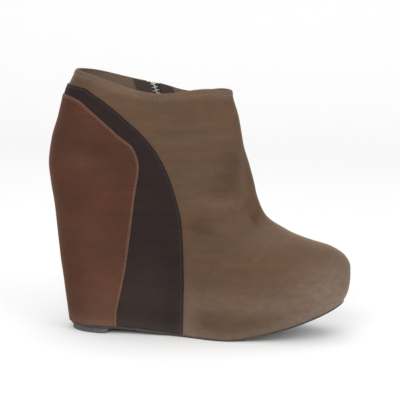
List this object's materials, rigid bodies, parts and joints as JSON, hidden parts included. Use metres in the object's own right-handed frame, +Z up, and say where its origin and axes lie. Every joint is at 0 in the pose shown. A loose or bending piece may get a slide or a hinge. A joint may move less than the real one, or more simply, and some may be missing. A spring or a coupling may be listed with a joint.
{
  "type": "wedge ankle bootie",
  "caption": "Right platform wedge bootie in colour-blocked suede, with a hollow upper, covered wedge, thin outsole, heel lift and an inner side zip.",
  "frame": {"origin": "on the floor, under the middle of the shoe's length and width", "axes": "+X to the toe, -Y to the outer side of the foot, +Z up"},
  "size_m": [0.2398, 0.0862, 0.2044],
  "materials": {
    "suede_taupe": "brushed suede, taupe brown",
    "suede_rust": "brushed suede, chestnut",
    "suede_dark": "brushed suede, dark brown",
    "core_foam": "moulded foam",
    "insole_leather": "smooth lining leather",
    "sole_rubber": "matt dark rubber",
    "lift_rubber": "matt slate rubber",
    "tape_cloth": "woven tape",
    "zip_metal": "bright metal"
  },
  "bodies": {
    "shoe": {"upper": "suede_taupe", "heel_panel": "suede_rust", "stripe_panel": "suede_dark", "wedge": "core_foam", "insole": "insole_leather", "outsole": "sole_rubber", "top_lift": "lift_rubber", "zip_tape": "tape_cloth", "zip_teeth": "zip_metal", "zip_slider": "zip_metal"},
    "zip_pull": {"zip_pull": "zip_metal"}
  },
  "joints": [
    {"name": "zip_pull_hinge", "type": "hinge", "parent": "shoe", "child": "zip_pull", "pos_m": [-0.03648, 0.0279, 0.18498], "axis": [0.9041, -0.1537, 0.3987], "range_deg": [0, 140]}
  ]
}
